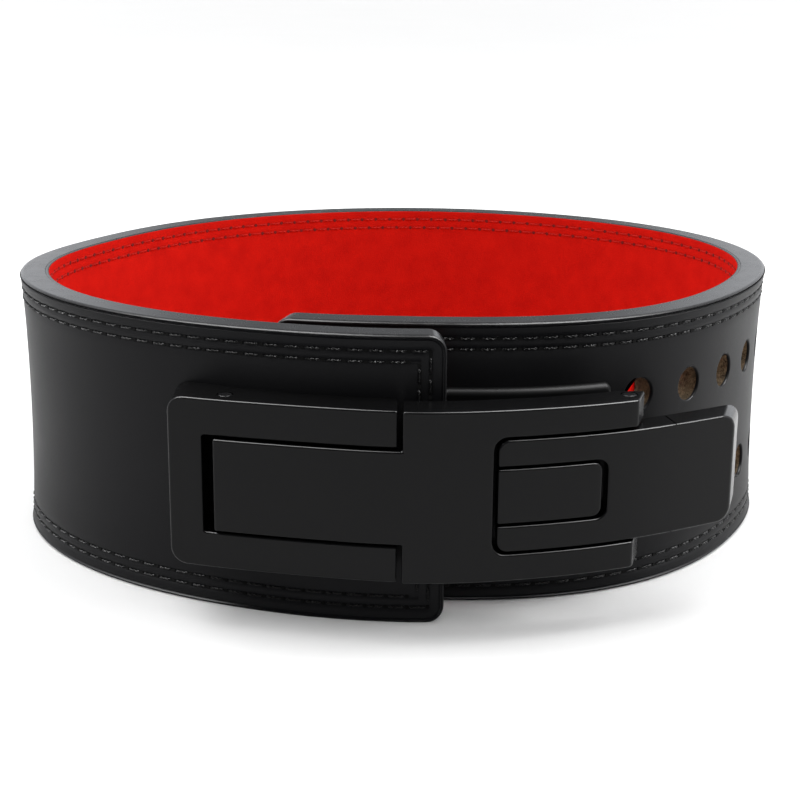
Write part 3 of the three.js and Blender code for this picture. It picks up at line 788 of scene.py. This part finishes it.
def make_screws():
    # Back from the strap's end as a share of FRAME_LENGTH, rise as a share of HALF_BUCKLE
    places = ((1.18, 0.51), (1.18, -0.51), (0.37, 0.79), (0.37, -0.79))
    for number, (back, rise) in enumerate(places, 1):
        x, z = STRAP_LENGTH - back * FRAME_LENGTH, MIDDLE + rise * HALF_BUCKLE
        head = bar(f"screw_head_{number}", (x, 12.6 * MM, z), 6.0 * MM, 1.9 * MM, "Y", 40)
        ease_edges(head, 0.6 * MM, 3)
        slot = block("slot", x - 4 * MM, x + 4 * MM, z - 0.6 * MM, z + 0.6 * MM, 12.9 * MM, 15 * MM)
        combine(head, slot, "DIFFERENCE")
        roll_up(head, waisted=False)
        smooth(head)
        finish_piece(head, PIN_STEEL, "pin_steel", f"frame_screw_{number}")


# Studio

def make_camera():
    width, focal_length = 800, 1623  # of the picture and the lens, in pixels
    down, twist = 15.44, 0.489  # degrees below level, and about the line of sight
    data = bpy.data.cameras.new("camera")
    data.sensor_width = 36.0
    data.lens = 36.0 * focal_length / width
    data.shift_x = 0.1 / width
    data.shift_y = -0.3 / width
    data.clip_start = 0.01
    data.clip_end = 50.0
    camera = bpy.data.objects.new("camera", data)
    bpy.context.scene.collection.objects.link(camera)
    tilt = Matrix.Rotation(math.radians(90 - down), 4, "X")
    roll = Matrix.Rotation(math.radians(twist), 4, "Z")
    camera.matrix_world = Matrix.Translation((0.0007, -0.64034, 0.22)) @ tilt @ roll
    bpy.context.scene.camera = camera


def make_softbox(name, place, width, height, power, edges_only=False):
    """Soft light aimed at the belt's middle; with edges_only it doesn't light diffuse surfaces."""
    aim = Vector((0, 0, MIDDLE))
    data = bpy.data.lights.new(name, "AREA")
    data.shape = "RECTANGLE"
    data.size = width
    data.size_y = height
    data.energy = power
    box = bpy.data.objects.new(name, data)
    bpy.context.scene.collection.objects.link(box)
    box.location = place
    box.rotation_mode = "QUATERNION"
    box.rotation_quaternion = (aim - Vector(place)).to_track_quat("-Z", "Y")
    box.visible_diffuse = not edges_only


def make_floor():
    bpy.ops.object.select_all(action="DESELECT")
    bpy.ops.mesh.primitive_plane_add(size=200, location=(0, 0, 0))
    floor = bpy.context.object
    floor.name = "studio_floor"
    floor.data.materials.append(FLOOR)


def make_world():
    """White room that lights evenly; glossy pieces mirror a dark front and brighter sides."""
    world = bpy.data.worlds.new("studio")
    bpy.context.scene.world = world
    world.use_nodes = True
    world.cycles.sampling_method = "NONE"
    nodes, links = world.node_tree.nodes, world.node_tree.links
    nodes.clear()
    out = nodes.new("ShaderNodeOutputWorld")
    white = nodes.new("ShaderNodeBackground")
    white.inputs["Color"].default_value = (1, 1, 1, 1)
    white.inputs["Strength"].default_value = 1.08
    place = nodes.new("ShaderNodeTexCoord")
    parts = nodes.new("ShaderNodeSeparateXYZ")
    links.new(place.outputs["Generated"], parts.inputs[0])
    fade = nodes.new("ShaderNodeMapRange")
    fade.inputs["From Min"].default_value = -0.6
    fade.inputs["From Max"].default_value = 0.9
    fade.inputs["To Min"].default_value = 0.08
    fade.inputs["To Max"].default_value = 1.0
    links.new(parts.outputs["Y"], fade.inputs["Value"])
    room = nodes.new("ShaderNodeBackground")
    room.inputs["Color"].default_value = (0.94, 0.96, 1.0, 1)
    sides = nodes.new("ShaderNodeMath")
    sides.operation = "ABSOLUTE"
    links.new(parts.outputs["X"], sides.inputs[0])
    panels = nodes.new("ShaderNodeMapRange")
    panels.interpolation_type = "SMOOTHSTEP"
    panels.inputs["From Min"].default_value = 0.1
    panels.inputs["From Max"].default_value = 0.25
    panels.inputs["To Min"].default_value = 0.42
    panels.inputs["To Max"].default_value = 1.9
    links.new(sides.outputs[0], panels.inputs["Value"])
    strength = nodes.new("ShaderNodeMath")
    strength.operation = "MULTIPLY"
    links.new(fade.outputs[0], strength.inputs[0])
    links.new(panels.outputs[0], strength.inputs[1])
    links.new(strength.outputs[0], room.inputs["Strength"])
    path = nodes.new("ShaderNodeLightPath")
    mix = nodes.new("ShaderNodeMixShader")
    links.new(path.outputs["Is Glossy Ray"], mix.inputs[0])
    links.new(white.outputs[0], mix.inputs[1])
    links.new(room.outputs[0], mix.inputs[2])
    links.new(mix.outputs[0], out.inputs["Surface"])


make_strap()
make_lining()
make_stitching("black_stitching", OUTER_ROWS, 0.42 * MM, -1, BLACK_THREAD, NEEDLE_SHADE_DISC, "black_leather")
make_stitching("red_stitching", LINING_ROWS, WALL + 0.02 * MM, 1, RED_THREAD, RED_NEEDLE_SHADE_DISC, "red_suede")
make_base_frame()
make_lever()
make_handle()
make_tongue()
make_hook_plate()
make_pins()
make_screws()
for helper in (LOOP_CURVE, WAIST_CAGE, FACE_CAGE):
    bpy.data.objects.remove(helper)

make_camera()
make_world()
make_floor()
make_softbox("upper_left_softbox", (-0.8, 0.3, 1.4), 0.7, 0.9, 8)
make_softbox("upper_right_softbox", (0.8, 0.3, 1.4), 0.7, 0.9, 9)
make_softbox("left_edge_light", (-0.78, -0.15, 1.4), 0.8, 1.4, 130, True)
make_softbox("right_edge_light", (0.78, -0.15, 1.4), 0.8, 1.4, 160, True)
make_softbox("left_softbox", (-1.4, -0.2, 0.6), 0.9, 0.9, 2)
make_softbox("right_softbox", (1.4, -0.1, 0.6), 0.9, 0.9, 5)
bpy.context.scene.view_settings.view_transform = "Standard"
